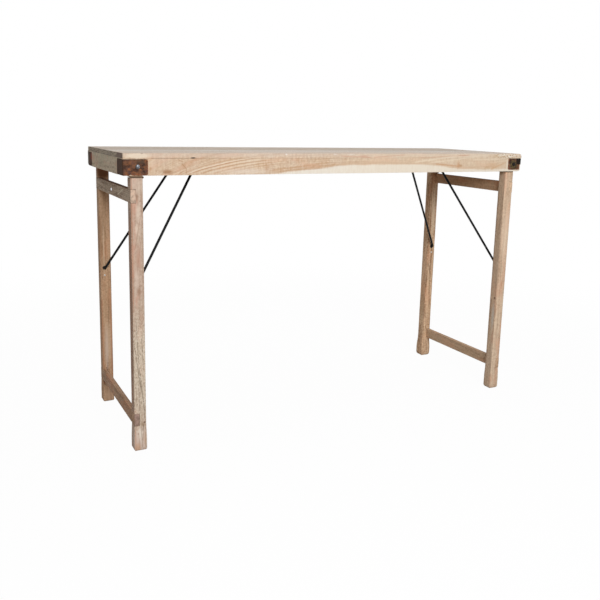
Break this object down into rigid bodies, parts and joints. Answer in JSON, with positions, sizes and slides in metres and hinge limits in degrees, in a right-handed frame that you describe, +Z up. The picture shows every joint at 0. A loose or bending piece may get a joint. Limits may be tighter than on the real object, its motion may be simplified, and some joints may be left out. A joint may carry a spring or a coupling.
{
  "type": "folding bar table",
  "caption": "Long narrow bar-height wooden table whose hinged leg frames fold under the apron-framed plank top and are held open by bent iron stays.",
  "frame": {"origin": "on the floor under the middle of the table, at the bottom centre of its box", "axes": "+X along the table's length to its right, +Y from its front to its back, +Z up from the floor"},
  "size_m": [1.628, 0.5596, 1],
  "materials": {
    "top_wood": "bleached bare wood, weathered grey-beige",
    "apron_wood": "bleached bare wood, warm beige",
    "leg_wood": "bleached bare wood, weathered",
    "rail_wood": "bare wood, darker and weathered",
    "inner_wood": "bare sawn wood",
    "strap_iron": "rusted strap iron",
    "bolt_steel": "worn dome head",
    "nail_steel": "bright worn head",
    "black_iron": "blackened iron"
  },
  "bodies": {
    "top": {"back_apron": "apron_wood", "back_left_corner_strap": "strap_iron", "back_left_hinge_pad": "leg_wood", "back_left_hinge_pin": "black_iron", "back_left_hinge_top_leaf": "black_iron", "back_left_strap_bolt": "bolt_steel", "back_right_corner_strap": "strap_iron", "back_right_hinge_pin": "black_iron", "back_right_hinge_top_leaf": "black_iron", "back_right_strap_bolt": "bolt_steel", "front_apron": "apron_wood", "front_left_corner_strap": "strap_iron", "front_left_hinge_pad": "leg_wood", "front_left_hinge_pin": "black_iron", "front_left_hinge_top_leaf": "black_iron", "front_left_strap_bolt": "bolt_steel", "front_right_corner_strap": "strap_iron", "front_right_hinge_pin": "black_iron", "front_right_hinge_top_leaf": "black_iron", "front_right_strap_bolt": "bolt_steel", "left_end_apron": "apron_wood", "left_hinge_rail": "inner_wood", "left_stay_batten": "inner_wood", "left_stay_keeper": "black_iron", "right_end_apron": "apron_wood", "right_hinge_rail": "inner_wood", "right_stay_batten": "inner_wood", "right_stay_keeper": "black_iron", "top_plank_1": "top_wood", "top_plank_2": "top_wood", "top_plank_3": "top_wood", "top_plank_4": "top_wood"},
    "left_leg_frame": {"back_left_hinge_leg_leaf": "black_iron", "back_left_leg": "leg_wood", "back_left_stay_nail": "nail_steel", "front_left_hinge_leg_leaf": "black_iron", "front_left_leg": "leg_wood", "front_left_stay_nail": "nail_steel", "left_rail_stud": "nail_steel", "left_stretcher": "rail_wood", "left_upper_rail": "rail_wood"},
    "right_leg_frame": {"back_right_hinge_leg_leaf": "black_iron", "back_right_leg": "leg_wood", "back_right_stay_nail": "nail_steel", "front_right_hinge_leg_leaf": "black_iron", "front_right_leg": "leg_wood", "front_right_stay_nail": "nail_steel", "right_stretcher": "rail_wood", "right_upper_rail": "rail_wood"},
    "left_stay": {"left_stay": "black_iron"},
    "right_stay": {"right_stay": "black_iron"}
  },
  "joints": [
    {"name": "left_fold", "type": "hinge", "parent": "top", "child": "left_leg_frame", "pos_m": [-0.74365, 0, 0.9221], "axis": [0, -1, 0], "range_deg": [0, 86]},
    {"name": "right_fold", "type": "hinge", "parent": "top", "child": "right_leg_frame", "pos_m": [0.74365, 0, 0.9292], "axis": [0, 1, 0], "range_deg": [0, 90]},
    {"name": "left_stay_swing", "type": "hinge", "parent": "left_leg_frame", "child": "left_stay", "pos_m": [-0.7721, 0, 0.541], "axis": [0, 1, 0], "range_deg": [0, 148]},
    {"name": "right_stay_swing", "type": "hinge", "parent": "right_leg_frame", "child": "right_stay", "pos_m": [0.7698, 0, 0.541], "axis": [0, -1, 0], "range_deg": [0, 148]}
  ],
  "couplings": [
    {"joint": "left_stay_swing", "follows": "left_fold", "ratio": 1.7151},
    {"joint": "right_stay_swing", "follows": "right_fold", "ratio": 1.6389}
  ]
}
